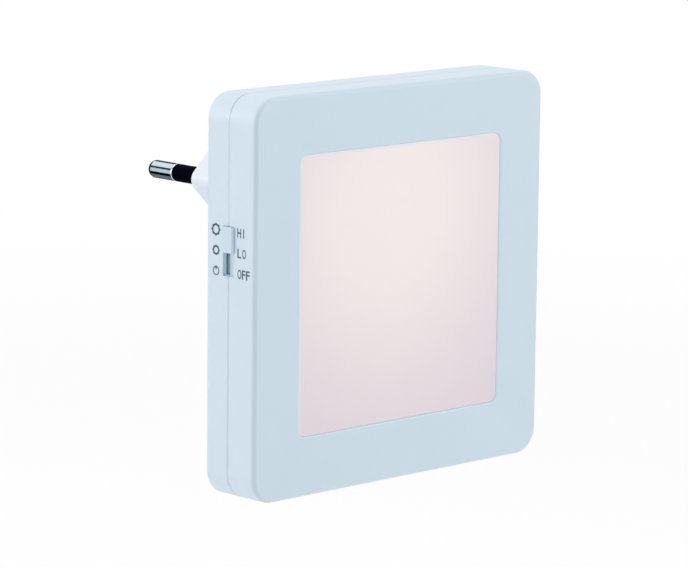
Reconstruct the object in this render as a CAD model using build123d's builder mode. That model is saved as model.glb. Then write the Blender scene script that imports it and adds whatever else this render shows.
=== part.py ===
from build123d import *
from math import radians, sqrt, tan
import os

# A square plug-in night light: a flat two-shell case with a lit lens in front, a three-position slide
# switch in the seam of its left side, and a hexagonal plug neck with two round pins behind.
#
# Frame: the origin is the middle of the plug's engagement face, between the pins. +Y points into the
# wall, +Z is up, and +X is to the right of someone who faces the lamp. Millimetres.
# "Depth" is measured from the case's front face towards the wall. "Rise" is the height above the
# middle of the case.

# ---- gaps between pieces
fit_gap = 0.05  # pieces fixed in one another, and a screw in its thread
slide_gap = 0.1  # pieces that drop in or slide
guide_gap = 0.2  # round the light guide
screw_hole_gap = 0.3  # round a shank that passes through
screw_end_gap = 0.2  # in front of a screw's tip
standoff = 0.3  # under the parts on the board
frame_clearance = 0.6  # between the light frame and the board
head_clearance = 0.4  # between the board and the plug screws' heads

# ---- case
body_width = 85.0
body_height = 85.0
body_depth = 15.0
corner_radius = 5.5
edge_radius = 1.0
wall = 2.0
seam_depth = 8.0  # from the front face to the joint between the shells
seam_relief = 0.25  # chamfer on both rims, which shows as the seam line
lip = 0.9  # thickness of the rear shell's tongue
lip_height = 1.2

# ---- plug
plug_length = 37.0  # from the case's back to the engagement face
plug_rise = 17.5  # plug axis above the case's middle
plug_side_room = 3.9  # beyond the pins' outer sides and one more radius, for their collars
plug_height = 13.7
plug_apex_radius = 2.6
plug_shoulder_radius = 0.8
plug_end_radius = 0.35
plug_wall = 1.6
plug_end_wall = 2.0
plug_hole_chamfer = 0.25  # round the pins, wider than the sleeves' shoulders
plug_gap = 0.15  # neck in the rear shell's opening
plug_flange = 1.5
plug_flange_width = 44.0
plug_flange_height = 17.0
plug_flange_corner = 2.0
pin_length = 19.0
pin_radius = 2.0
pin_root_spacing = 18.0
pin_tip_spacing = 17.0
pin_dome = 1.7
pin_collar = 2.0  # length of the collar behind the end wall
pin_collar_step = 0.3
pin_tail_radius = 1.0
pin_tail = 3.5
sleeve_length = 10.0
sleeve_step = 0.02  # the sleeve is this much slimmer than the pin's bare end
sleeve_wall = 0.4
sleeve_root_wall = 0.25  # where the sleeve passes the plug's end wall
carrier_length = 8.0
crimp_length = 4.0
crimp_wall = 0.35
wire_diameter = 1.4

# ---- lens and light unit
lens_border = 12.7  # from the case's sides to the lens opening
lens_corner = 2.0
lens_recess = 0.35
lens_thickness = 1.6
lens_flange = 2.0
lens_edge_radius = 0.2
lens_rim = 1.5  # full thickness along the pane's edge
opening_edge_radius = 0.3
flange_thickness = 1.2
guide_margin = 0.5  # the guide is larger than the lens by this on each side
guide_thickness = 2.5
guide_corner = 1.0
film_thickness = 0.3
frame_wall = 2.5
frame_floor = 1.2
frame_corner = 3.0
strip_room = 2.0  # above the guide, for the LED strip
strip_margin = 3.5  # strip's ends to the guide's ends
strip_thickness = 1.0
led_count = 6
led_pitch = 7.0
led_length = 3.0
led_width = 1.4
led_height = 0.8
led_wire_diameter = 1.0
led_wire_insets = (3.4, 1.6)  # from the strip's left end

# ---- fasteners
pillar_radius = 3.25
sleeve_thickness = 0.9  # wall of the rear sleeves beyond the pillars
pillar_top = 9.5  # depth at which front pillar and rear sleeve meet
pillar_clearance = 0.15  # between a sleeve and the case's side
case_screw_radius = 1.3
case_screw_grip = 7.0  # thread in the front pillar
case_head_radius = 2.7
case_head = 1.8
case_seat = 1.8  # floor under the head in the rear sleeve
counterbore_radius = 3.1
boss_radius = 2.5
boss_inset = 4.0  # screw bosses in from the case's inner sides and the board's ends
small_screw_radius = 1.0
small_head_radius = 1.9
small_head = 1.2
chassis_screw_length = 6.4
plug_screw_length = 3.4
plug_screw_spacing_x = 36.6
plug_screw_spacing_z = 12.0

# ---- main board and what stands on it
board_thickness = 1.2
board_gap = 1.5  # between the board and the case's sides
board_height = 56.0
board_corner = 1.5
lead_radius = 0.3
lead_gap = 0.15
lead_stub = 0.5  # lead's end beyond the board
film_width = 17.0
film_height = 6.0
film_depth = 12.0
film_lead_spacing = 15.0
side_resistor_inset = 7.0  # from the board's right end
fuse_rise = 12.0
fuse_size = (9.0, 3.2)  # length and diameter
fuse_spacing = 13.0
bleed_rise = -12.0
resistor_size = (6.5, 2.4)
resistor_spacing = 10.0
level_x = 10.0
level_rises = (-16.0, -22.0)
filter_x = -24.0  # left end of the filter capacitor
filter_rise = -12.0
filter_radius = 2.5
filter_length = 11.0
filter_groove = 0.25
filter_sunk = 1.3  # how deep it lies in the board's cut-out, of its radius
filter_lead_spacing = 2.0
rectifier_rise = -6.0
rectifier_size = (8.3, 6.2, 2.5)  # across, up, thick
rectifier_pitch = 5.0
rectifier_span = 7.6
varistor_x = 20.0
varistor_radius = 3.75
varistor_thickness = 3.2
varistor_spacing = 5.0
varistor_reach = 6.0  # from its middle down to its lead holes

# ---- slide switch
travel = 4.9  # HI to OFF, with LO in the middle
switch_rise = 10.1  # middle of the switch
knob_length = 5.4
knob_width = 3.4
knob_corner = 0.25
knob_edge_radius = 0.22
knob_proud = 0.75
recess_depth = 0.45
stem_width = 1.0
stem_length = 4.6
stem_grip = 0.2  # stem beyond the case's side, inside the knob
can_width = 5.6
can_depth = 4.8
can_sheet = 0.4
slider_width = 4.4
slider_length = 6.6
slider_depth = 2.2
base_thickness = 1.2
contact_sheet = 0.2
terminal_tail = 2.4
ball_radius = 0.6
spring_radius = 0.4
spring_wire = 0.12
spring_pitch = 0.45
post_thickness = 1.2
post_clearance = 0.9  # round the cradle's posts in the board's cut-out
cradle_ledge = 9.0

# ---- places that follow
y_back = -plug_length
y_front = y_back - body_depth
z_mid = -plug_rise
outer_left = -body_width / 2
inner_left = outer_left + wall
inner_width = body_width - 2 * wall
inner_height = body_height - 2 * wall
inner_corner = corner_radius - wall
inner_back = body_depth - wall
lens_width = body_width - 2 * lens_border
lens_height = body_height - 2 * lens_border
lens_back = wall + flange_thickness
guide_back = lens_back + guide_thickness
film_back = guide_back + film_thickness
frame_back = film_back + frame_floor
board_depth = frame_back + frame_clearance
board_back = board_depth + board_thickness
board_width = inner_width - 2 * board_gap
flange_depth = board_back + small_head + head_clearance
flange_back = flange_depth + plug_flange
guide_width = lens_width + 2 * guide_margin
guide_height = lens_height + 2 * guide_margin
bay_width = guide_width + 2 * guide_gap
bay_bottom = -guide_height / 2 - guide_gap
bay_top = guide_height / 2 + guide_gap + strip_room
pillar_inset = wall + pillar_clearance + sleeve_thickness + pillar_radius
case_points = (body_width - 2 * pillar_inset, body_height - 2 * pillar_inset)
case_seat_depth = pillar_top + case_seat
chassis_points = (inner_width - 2 * boss_inset, board_height - 2 * boss_inset)
plug_points = (plug_screw_spacing_x, plug_screw_spacing_z)
sleeve_radius = pin_radius - sleeve_step
pin_neck_radius = sleeve_radius - sleeve_wall
pin_collar_radius = pin_radius + pin_collar_step
sleeve_root_radius = pin_neck_radius + sleeve_root_wall
plug_width = pin_root_spacing + 3 * pin_radius + plug_side_room
carrier_end = plug_end_wall + carrier_length
knob_rise = switch_rise + travel / 2  # the knob rests at HI
terminal_pitch = travel / 2
stem_slot_width = stem_width + 2 * slide_gap
stem_slot_length = stem_length + travel + 4 * slide_gap
stem_depth = seam_depth + stem_slot_width / 2
recess_length = knob_length + travel + 2 * slide_gap
recess_width = knob_width + 2 * slide_gap
recess_corner = knob_corner + slide_gap / 2
recess_floor = outer_left + recess_depth
can_length = slider_length + travel + 2 * (can_sheet + 2 * slide_gap)
can_front = inner_left + slide_gap
can_back = can_front + can_depth
can_x = (can_front + can_back) / 2
cradle_back = stem_depth - can_width / 2
slider_front = can_front + can_sheet + slide_gap
slider_back = slider_front + slider_depth
click_x = slider_front + slider_depth / 2
board_left = -board_width / 2


def layer(depth, rise=0.0):
    """Plane parallel to the front face, looking at it: x to the right, y up, normal to the front."""
    return Plane(origin=(0, y_front + depth, z_mid + rise), x_dir=(1, 0, 0), z_dir=(0, -1, 0))


def side(x, depth, rise):
    """Plane parallel to the left side, looking at it: x to the front, y up, normal to the left."""
    return Plane(origin=(x, y_front + depth, z_mid + rise), x_dir=(0, -1, 0), z_dir=(-1, 0, 0))


def inside(x, depth, rise):
    """Point in the case, from its depth and its rise."""
    return Vector(x, y_front + depth, z_mid + rise)


def slab(depth, thickness, width, height, radius, rise=0.0, mode=Mode.ADD):
    """Rounded plate parallel to the front face, from one depth back by its thickness."""
    with BuildSketch(layer(depth, rise)) as plate:
        RectangleRounded(width, height, radius)
    extrude(plate.sketch, amount=-thickness, mode=mode)


def rods(depth, length, radius, points, rise=0.0, mode=Mode.ADD):
    """Four round rods at the corners of a rectangle, from one depth back by their length."""
    with BuildSketch(layer(depth, rise)) as ends:
        with GridLocations(*points, 2, 2):
            Circle(radius)
    extrude(ends.sketch, amount=-length, mode=mode)


def plug_outline(plane, inset=0.0):
    """Flat hexagon with rounded points left and right, drawn inwards by the inset."""
    reach = plug_width / 2 + plug_apex_radius * (sqrt(2) - 1) - inset * sqrt(2)
    half = plug_height / 2 - inset
    flat = reach - half
    with BuildSketch(plane) as outline:
        Polygon((-reach, 0), (-flat, half), (flat, half), (reach, 0), (flat, -half), (-flat, -half))
        shoulders = outline.vertices().group_by(Axis.Y)
        fillet(shoulders[0] + shoulders[-1], plug_shoulder_radius)
        points = outline.vertices().group_by(Axis.X)
        fillet(points[0] + points[-1], plug_apex_radius - inset)
    return outline.sketch


def pin_plane(hand):
    """Plane across a pin at the engagement face, normal along the pin to its tip."""
    lean = (pin_root_spacing - pin_tip_spacing) / 2
    run = Vector(-hand * lean, pin_length, 0)
    return Plane(origin=(hand * pin_root_spacing / 2, 0, 0), x_dir=(0, 0, 1), z_dir=run.normalized())


def bend_radii(points):
    """Largest smooth bends of a wire through its points."""
    radii = []
    for before, corner, after in zip(points, points[1:], points[2:]):
        turn = (corner - before).get_angle(after - corner)
        shorter = min((corner - before).length, (after - corner).length)
        radii.append(0.45 * shorter / tan(radians(turn / 2)))
    return radii


def wire(points, diameter):
    """Round wire along straight runs joined by tangent bends."""
    with BuildLine() as route:
        FilletPolyline(*points, radius=bend_radii(points))
    with BuildSketch(route.line ^ 0) as section:
        Circle(diameter / 2)
    sweep(section.sketch, path=route.line)


# ---- front shell: lens opening, screw pillars, bosses for the light frame, cradle for the switch
with BuildPart() as front_cover:
    slab(0, seam_depth, body_width, body_height, corner_radius)
    fillet(front_cover.faces().sort_by(Axis.Y)[0].edges(), edge_radius)
    chamfer(front_cover.faces().sort_by(Axis.Y)[-1].edges(), seam_relief)
    slab(wall, seam_depth, inner_width, inner_height, inner_corner, mode=Mode.SUBTRACT)
    groove = lip + slide_gap
    slab(seam_depth - lip_height - slide_gap, body_depth, inner_width + 2 * groove, inner_height + 2 * groove,
         inner_corner + groove, mode=Mode.SUBTRACT)
    slab(0, wall, lens_width, lens_height, lens_corner, mode=Mode.SUBTRACT)
    fillet(front_cover.faces().sort_by(Axis.Y)[0].inner_wires().edges(), opening_edge_radius)
    rods(wall, pillar_top - wall, pillar_radius, case_points)
    rods(pillar_top - case_screw_grip, case_screw_grip, case_screw_radius + fit_gap, case_points,
         mode=Mode.SUBTRACT)
    rods(wall, film_back - wall, boss_radius, chassis_points)
    rods(board_back - chassis_screw_length - screw_end_gap, chassis_screw_length, small_screw_radius + fit_gap,
         chassis_points, mode=Mode.SUBTRACT)
    with BuildSketch(layer(wall, switch_rise)):
        with Locations((can_x, 0)):
            Rectangle(can_depth, cradle_ledge)
    extrude(amount=wall - cradle_back)
    with BuildSketch(layer(wall, switch_rise)):
        with Locations((can_x, 0)):
            with GridLocations(0, can_length + 2 * slide_gap + post_thickness, 1, 2):
                Rectangle(can_depth, post_thickness)
    extrude(amount=wall - pillar_top)
    with BuildSketch(side(recess_floor, seam_depth, switch_rise)):
        RectangleRounded(recess_width, recess_length, recess_corner)
    extrude(amount=wall, mode=Mode.SUBTRACT)

# ---- rear shell: tongue, screw sleeves, opening and bosses for the plug, rest for the switch
with BuildPart() as rear_cover:
    slab(seam_depth, body_depth - seam_depth, body_width, body_height, corner_radius)
    fillet(rear_cover.faces().sort_by(Axis.Y)[-1].edges(), edge_radius)
    chamfer(rear_cover.faces().sort_by(Axis.Y)[0].edges(), seam_relief)
    slab(seam_depth - lip_height, lip_height, inner_width + 2 * lip, inner_height + 2 * lip, inner_corner + lip)
    slab(0, inner_back, inner_width, inner_height, inner_corner, mode=Mode.SUBTRACT)
    rods(pillar_top, inner_back - pillar_top, pillar_radius + sleeve_thickness, case_points)
    rods(pillar_top, case_seat, case_screw_radius + screw_hole_gap, case_points, mode=Mode.SUBTRACT)
    rods(case_seat_depth, body_depth, counterbore_radius, case_points, mode=Mode.SUBTRACT)
    rods(flange_back, inner_back - flange_back, boss_radius, plug_points, rise=plug_rise)
    rods(flange_depth, plug_screw_length + screw_end_gap, small_screw_radius + fit_gap, plug_points,
         rise=plug_rise, mode=Mode.SUBTRACT)
    extrude(plug_outline(layer(inner_back, plug_rise), -plug_gap), amount=-2 * wall, mode=Mode.SUBTRACT)
    with BuildSketch(layer(stem_depth + can_width / 2, switch_rise)):
        with Locations((can_x, 0)):
            Rectangle(can_depth - 2 * can_sheet, cradle_ledge)
    extrude(amount=stem_depth + can_width / 2 - inner_back)
    with BuildSketch(side(recess_floor, seam_depth, switch_rise)):
        RectangleRounded(recess_width, recess_length, recess_corner)
    extrude(amount=wall, mode=Mode.SUBTRACT)
    slot_front = lip_height + slide_gap
    with BuildSketch(side(inner_left + fit_gap, seam_depth, switch_rise)):
        with Locations(((slot_front - stem_slot_width) / 2, 0)):
            Rectangle(slot_front + stem_slot_width, stem_slot_length)
    extrude(amount=2 * wall, mode=Mode.SUBTRACT)

# ---- lens: pane in the opening, flange behind the front wall, thinned from behind
with BuildPart() as lens:
    slab(lens_recess, lens_back - lens_recess, lens_width - 2 * slide_gap, lens_height - 2 * slide_gap,
         lens_corner - slide_gap)
    fillet(lens.faces().sort_by(Axis.Y)[0].edges(), lens_edge_radius)
    slab(wall, flange_thickness, lens_width + 2 * lens_flange, lens_height + 2 * lens_flange,
         lens_corner + lens_flange)
    slab(lens_recess + lens_thickness, wall, lens_width - 2 * lens_rim, lens_height - 2 * lens_rim, lens_corner,
         mode=Mode.SUBTRACT)

# ---- light guide, reflector film, and the tray that holds them with the LED strip
with BuildPart() as light_guide:
    slab(lens_back, guide_thickness, guide_width, guide_height, guide_corner)
    chamfer(light_guide.faces().sort_by(Axis.Y)[-1].edges(), 0.2)

with BuildPart() as reflector_sheet:
    slab(guide_back, film_thickness, guide_width, guide_height, guide_corner)

strip_length = guide_width - 2 * strip_margin
strip_left = -strip_length / 2
strip_bottom = bay_top - strip_thickness - slide_gap
strip_width = film_back - lens_back - 2 * slide_gap
strip_depth = (lens_back + film_back) / 2
with BuildPart() as light_frame:
    bay_rise = (bay_top + bay_bottom) / 2
    bay_height = bay_top - bay_bottom
    slab(lens_back, frame_back - lens_back, bay_width + 2 * frame_wall, bay_height + 2 * frame_wall, frame_corner,
         rise=bay_rise)
    ear_width = 2 * boss_radius + 0.8
    ear_reach = (chassis_points[0] - bay_width) / 2
    with BuildSketch(layer(film_back)):
        with GridLocations(*chassis_points, 2, 2):
            Circle(ear_width / 2)
        with GridLocations(chassis_points[0] - ear_reach, chassis_points[1], 2, 2):
            Rectangle(ear_reach, ear_width)
    extrude(amount=film_back - board_depth)
    rods(film_back, board_depth - film_back, small_screw_radius + screw_hole_gap, chassis_points,
         mode=Mode.SUBTRACT)
    slab(lens_back, film_back - lens_back, bay_width, bay_height, guide_corner / 2, rise=bay_rise,
         mode=Mode.SUBTRACT)
    with BuildSketch(layer(lens_back, bay_top)):
        with Locations((strip_left + sum(led_wire_insets) / 2, 0)):
            Rectangle(sum(led_wire_insets) + led_wire_diameter, 3 * frame_wall)
    extrude(amount=lens_back - film_back, mode=Mode.SUBTRACT)

# ---- LED strip above the guide, with its LEDs facing down into the guide's edge
led_depth = lens_back + guide_thickness / 2
with BuildPart() as led_strip:
    with BuildSketch(Plane.XY.offset(z_mid + strip_bottom)):
        with Locations((0, y_front + strip_depth)):
            Rectangle(strip_length, strip_width)
    extrude(amount=strip_thickness)

with BuildPart() as leds:
    with BuildSketch(Plane.XY.offset(z_mid + strip_bottom)):
        with Locations((0, y_front + led_depth)):
            with GridLocations(led_pitch, 0, led_count, 1):
                Rectangle(led_length, led_width)
    extrude(amount=-led_height)
    with BuildSketch(Plane.XY.offset(z_mid + strip_bottom - led_height)):
        with Locations((0, y_front + led_depth)):
            with GridLocations(led_pitch, 0, led_count, 1):
                RectangleRounded(led_length - 0.6, led_width - 0.4, 0.2)
    extrude(amount=0.15, mode=Mode.SUBTRACT)

# ---- parts on the main board, each of which leaves its lead holes for the board
lead_holes = []


def lead(start, hole, depth):
    """Lead from a part's side at one depth, bent down into its hole. Both places are (x, rise)."""
    lead_holes.append(hole)
    foot = inside(hole[0], board_depth - lead_stub, hole[1])
    wire([inside(start[0], depth, start[1]), inside(hole[0], depth, hole[1]), foot], 2 * lead_radius)


def make_resistor(x, rise, size, spacing, upright=False):
    """Resistor that lies on the board, with wider caps and both leads bent down."""
    length, diameter = size
    depth = board_back + standoff + diameter / 2
    direction = Vector(0, 0, 1) if upright else Vector(1, 0, 0)
    plane = Plane(origin=inside(x, depth, rise) - direction * (length / 2), z_dir=direction)
    cap = 0.28 * length
    with BuildPart() as resistor:
        with BuildSketch(plane):
            Circle(0.87 * diameter / 2)
        extrude(amount=length)
        with BuildSketch(plane, plane.offset(length - cap)):
            Circle(diameter / 2)
        extrude(amount=cap)
        for end in (-0.5, 0.5):
            near, far = end * length, end * spacing
            if upright:
                lead((x, rise + near), (x, rise + far), depth)
            else:
                lead((x + near, rise), (x + far, rise), depth)
    return resistor


side_resistor_x = board_width / 2 - side_resistor_inset
fuse_resistor = make_resistor(side_resistor_x, fuse_rise, fuse_size, fuse_spacing, upright=True)
bleed_resistor = make_resistor(side_resistor_x, bleed_rise, resistor_size, resistor_spacing, upright=True)
high_level_resistor = make_resistor(level_x, level_rises[0], resistor_size, resistor_spacing)
low_level_resistor = make_resistor(level_x, level_rises[1], resistor_size, resistor_spacing)

# film capacitor: a box that stands on the board and reaches into the neck
with BuildPart() as film_capacitor:
    slab(board_back + standoff, film_depth, film_width, film_height, 0.5, rise=plug_rise)
    film_holes = [(-film_lead_spacing / 2, plug_rise), (film_lead_spacing / 2, plug_rise)]
    lead_holes.extend(film_holes)
    with BuildSketch(layer(board_depth - lead_stub)):
        with Locations(*film_holes):
            Circle(lead_radius)
    extrude(amount=-lead_stub - board_thickness - 2 * standoff)

# filter capacitor: lies in a cut-out of the board, leads to the right
with BuildPart() as filter_capacitor:
    filter_depth = board_back + filter_radius - filter_sunk
    filter_end = filter_x + filter_length
    plane = Plane(origin=inside(filter_x, filter_depth, filter_rise), z_dir=(1, 0, 0))
    with BuildSketch(plane):
        Circle(filter_radius)
    extrude(amount=filter_length)
    fillet(filter_capacitor.edges().filter_by(GeomType.CIRCLE), 0.3)
    with BuildSketch(plane.offset(filter_length - 1.8)):
        Circle(filter_radius + 1)
        Circle(filter_radius - filter_groove, mode=Mode.SUBTRACT)
    extrude(amount=0.6, mode=Mode.SUBTRACT)
    for rise in (filter_rise - filter_lead_spacing / 2, filter_rise + filter_lead_spacing / 2):
        lead((filter_end - 0.2, rise), (filter_end + 2.0, rise), filter_depth)

# bridge rectifier: moulded block with two legs up and two down
with BuildPart() as bridge_rectifier:
    across, high, thick = rectifier_size
    slab(board_back + standoff, thick, across, high, 0.2, rise=rectifier_rise)
    chamfer(bridge_rectifier.faces().sort_by(Axis.Y)[-1].edges(), 0.15)
    for x in (-rectifier_pitch / 2, rectifier_pitch / 2):
        for way in (-0.5, 0.5):
            start = (x, rectifier_rise + way * (high - 0.4))
            lead(start, (x, rectifier_rise + way * rectifier_span), board_back + standoff + thick / 2)

# varistor: coated disc laid flat, leads downwards
with BuildPart() as varistor:
    with BuildSketch(layer(board_back + standoff)):
        with Locations((varistor_x, 0)):
            Circle(varistor_radius)
    extrude(amount=-varistor_thickness)
    fillet(varistor.edges().filter_by(GeomType.CIRCLE), 1.0)
    for x in (varistor_x - varistor_spacing / 2, varistor_x + varistor_spacing / 2):
        lead((x, 1.4 - varistor_radius), (x, -varistor_reach), board_back + standoff + varistor_thickness / 2)

# ---- main board: screw holes, lead holes, cut-outs for the switch and the filter capacitor
with BuildPart() as main_board:
    slab(board_depth, board_thickness, board_width, board_height, board_corner)
    rods(board_depth, board_thickness, small_screw_radius + screw_hole_gap, chassis_points, mode=Mode.SUBTRACT)
    with BuildSketch(layer(board_depth, switch_rise)):
        with Locations(((board_left + can_back) / 2, 0)):
            Rectangle(can_back - board_left + 2 * screw_hole_gap,
                      can_length + 2 * (slide_gap + post_thickness + post_clearance))
    extrude(amount=-board_thickness, mode=Mode.SUBTRACT)
    with BuildSketch(layer(board_depth)):
        with Locations((filter_x + filter_length / 2, filter_rise)):
            Rectangle(filter_length + 2 * standoff, 2 * (filter_radius + standoff))
        with Locations(*lead_holes):
            Circle(lead_radius + lead_gap)
    extrude(amount=-board_thickness, mode=Mode.SUBTRACT)

# ---- plug neck: flange inside the rear shell, hollow hexagon, end wall with two holes
with BuildPart() as plug_body:
    slab(flange_depth, plug_flange, plug_flange_width, plug_flange_height, plug_flange_corner, rise=plug_rise)
    neck_length = -y_front - flange_depth
    extrude(plug_outline(layer(flange_depth, plug_rise)), amount=-neck_length)
    fillet(plug_body.faces().sort_by(Axis.Y)[-1].edges(), plug_end_radius)
    extrude(plug_outline(layer(flange_depth, plug_rise), plug_wall), amount=plug_end_wall - neck_length,
            mode=Mode.SUBTRACT)
    for hand in (-1, 1):
        with BuildSketch(pin_plane(hand).offset(-2 * plug_end_wall)):
            Circle(sleeve_root_radius + fit_gap)
        extrude(amount=3 * plug_end_wall, mode=Mode.SUBTRACT)
    chamfer(plug_body.faces().sort_by(Axis.Y)[-1].inner_wires().edges(), plug_hole_chamfer)
    rods(flange_depth, plug_flange, small_screw_radius + screw_hole_gap, plug_points, rise=plug_rise,
         mode=Mode.SUBTRACT)

# ---- pins in their carrier behind the end wall
collar_front = -plug_end_wall - slide_gap
collar_back = collar_front - pin_collar
with BuildPart() as pin_carrier:
    extrude(plug_outline(Plane.XZ.offset(plug_end_wall), plug_wall + plug_gap), amount=carrier_length)
    for hand in (-1, 1):
        with BuildSketch(pin_plane(hand).offset(-carrier_end - 1)):
            Circle(pin_neck_radius + fit_gap)
        extrude(amount=carrier_end + 1, mode=Mode.SUBTRACT)
        with BuildSketch(pin_plane(hand).offset(collar_back - slide_gap)):
            Circle(pin_collar_radius + fit_gap)
        extrude(amount=carrier_end, mode=Mode.SUBTRACT)


def make_pin(hand):
    """Turned pin: domed bare end, neck under the sleeve, collar in the carrier, tail for the crimp."""
    plane = pin_plane(hand)
    face = Plane(origin=plane.origin, x_dir=plane.x_dir, z_dir=plane.x_dir.cross(plane.z_dir))
    tail = -carrier_end - pin_tail
    with BuildPart() as pin:
        with BuildSketch(face) as profile:
            with BuildLine():
                Polyline(
                    (0, tail), (pin_tail_radius, tail), (pin_tail_radius, -carrier_end),
                    (pin_neck_radius, -carrier_end), (pin_neck_radius, collar_back),
                    (pin_collar_radius, collar_back), (pin_collar_radius, collar_front),
                    (pin_neck_radius, collar_front), (pin_neck_radius, sleeve_length),
                    (pin_radius, sleeve_length), (pin_radius, pin_length), (0, pin_length), (0, tail),
                )
            make_face()
            fillet(profile.vertices().sort_by(Axis.Y)[-2:].sort_by(Axis.X)[-1], pin_dome)
        revolve(axis=Axis(plane.origin, plane.z_dir))
    return pin


def make_sleeve(hand):
    """Insulating tube from the carrier out to the bare end of the pin, with a shoulder on the end wall."""
    with BuildPart() as sleeve:
        with BuildSketch(pin_plane(hand).offset(-plug_end_wall)):
            Circle(sleeve_root_radius)
        extrude(amount=plug_end_wall + slide_gap)
        with BuildSketch(pin_plane(hand).offset(slide_gap)):
            Circle(sleeve_radius)
        extrude(amount=sleeve_length - slide_gap)
        with BuildSketch(pin_plane(hand).offset(-plug_end_wall)):
            Circle(pin_neck_radius + fit_gap / 2)
        extrude(amount=plug_end_wall + sleeve_length, mode=Mode.SUBTRACT)
    return sleeve


pin_left, pin_right = make_pin(-1), make_pin(1)
sleeve_left, sleeve_right = make_sleeve(-1), make_sleeve(1)

# ---- crimps round the pin tails, and the mains wires from them to the board
with BuildPart() as pin_crimps:
    for hand in (-1, 1):
        with BuildSketch(pin_plane(hand).offset(-carrier_end - pin_tail - crimp_length / 2)):
            Circle(pin_tail_radius + fit_gap + crimp_wall)
            Circle(pin_tail_radius + fit_gap, mode=Mode.SUBTRACT)
        extrude(amount=crimp_length)


def make_mains_wire(hand):
    """Wire from the end of a pin's tail, past the film capacitor, to the board."""
    tail = pin_plane(hand).offset(-carrier_end - pin_tail)
    beside = hand * (film_width / 2 + wire_diameter / 2 + 0.8)
    board = y_front + board_back
    points = [
        tail.origin,
        tail.offset(-7.0).origin,
        Vector(beside, board + 12.5, 0.4),
        Vector(beside, board + 5.5, 0),
        Vector(beside, board, 0),
    ]
    with BuildPart() as mains_wire:
        wire(points, wire_diameter)
    return mains_wire


live_wire, neutral_wire = make_mains_wire(-1), make_mains_wire(1)


def make_led_wire(inset):
    """Wire from the strip's upper side, over the tray's edge, to the back of the board."""
    x = strip_left + inset
    over = bay_top + frame_wall + 2.2
    behind = board_back + 3.2
    foot = board_height / 2 - 1.2
    points = [
        inside(x, strip_depth, strip_bottom + strip_thickness),
        inside(x, strip_depth, over),
        inside(x, behind, over),
        inside(x, behind, foot),
        inside(x, board_back, foot),
    ]
    with BuildPart() as led_wire:
        wire(points, led_wire_diameter)
    return led_wire


led_wire_positive, led_wire_negative = [make_led_wire(inset) for inset in led_wire_insets]

# ---- slide switch: folded can, base, terminals, slider with its stem, contact clip and click stops
with BuildPart() as switch_frame:
    with BuildSketch(side(can_back, stem_depth, switch_rise)):
        Rectangle(can_width, can_length)
    extrude(amount=can_depth)
    fillet(switch_frame.edges().filter_by(Axis.X), 0.3)
    with BuildSketch(side(can_back, stem_depth, switch_rise)):
        Rectangle(can_width - 2 * can_sheet, can_length - 2 * can_sheet)
    extrude(amount=can_depth - can_sheet, mode=Mode.SUBTRACT)
    with BuildSketch(side(can_back, stem_depth, switch_rise)):
        Rectangle(stem_slot_width, stem_slot_length)
    extrude(amount=can_depth, mode=Mode.SUBTRACT)
    with BuildSketch(Plane.XZ.offset(-y_front - stem_depth)):
        with Locations((click_x, z_mid + switch_rise)):
            with GridLocations(0, travel / 2, 1, 3):
                Circle(0.75 * ball_radius)
    extrude(amount=can_width, both=True, mode=Mode.SUBTRACT)

base_front = can_back - base_thickness
tail_depth = board_back + contact_sheet
with BuildPart() as switch_base:
    with BuildSketch(side(can_back, stem_depth, switch_rise)):
        Rectangle(can_width - 2 * (can_sheet + fit_gap), can_length - 2 * (can_sheet + fit_gap))
    extrude(amount=base_thickness)
    with BuildSketch(side(can_back, tail_depth, switch_rise)):
        with GridLocations(0, terminal_pitch, 1, 4):
            Rectangle(0.3 + 2 * fit_gap, 0.8 + 2 * fit_gap)
    extrude(amount=base_thickness, mode=Mode.SUBTRACT)

with BuildPart() as switch_terminals:
    with BuildSketch(side(base_front, stem_depth, switch_rise)):
        with GridLocations(0, terminal_pitch, 1, 4):
            RectangleRounded(1.6, 1.8, 0.2)
    extrude(amount=contact_sheet)
    with BuildSketch(side(base_front - contact_sheet / 2, tail_depth, switch_rise)):
        with GridLocations(0, terminal_pitch, 1, 4):
            Rectangle(0.3, 0.8)
    extrude(amount=-base_thickness - terminal_tail)

with BuildPart() as switch_slider:
    with BuildSketch(side(slider_back, stem_depth, knob_rise)):
        RectangleRounded(slider_width, slider_length, 0.3)
    extrude(amount=slider_depth)
    with BuildSketch(side(slider_front, stem_depth, knob_rise)):
        RectangleRounded(stem_width, stem_length, 0.2)
    extrude(amount=slider_front - outer_left + stem_grip)
    with BuildSketch(Plane.XZ.offset(-y_front - stem_depth)):
        with Locations((click_x, z_mid + knob_rise)):
            Circle(ball_radius + fit_gap)
    extrude(amount=slider_width, both=True, mode=Mode.SUBTRACT)

with BuildPart() as switch_contact:
    with BuildSketch(side(slider_back + contact_sheet, stem_depth, knob_rise)):
        RectangleRounded(1.8, slider_length - 0.6, 0.3)
    extrude(amount=contact_sheet)
    with BuildSketch(Plane.XZ.offset(-y_front - stem_depth)):
        with Locations((slider_back + contact_sheet, z_mid + knob_rise)):
            with GridLocations(0, terminal_pitch, 1, 2):
                Circle(0.4)
        with Locations((slider_back + contact_sheet - 0.7, z_mid + knob_rise)):
            Rectangle(1.4, 2 * terminal_pitch, mode=Mode.SUBTRACT)
    extrude(amount=0.6, both=True)

ball_offset = can_width / 2 - can_sheet - ball_radius - fit_gap
with BuildPart() as detent_balls:
    for offset in (-ball_offset, ball_offset):
        with Locations((click_x, y_front + stem_depth + offset, z_mid + knob_rise)):
            Sphere(ball_radius)

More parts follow.
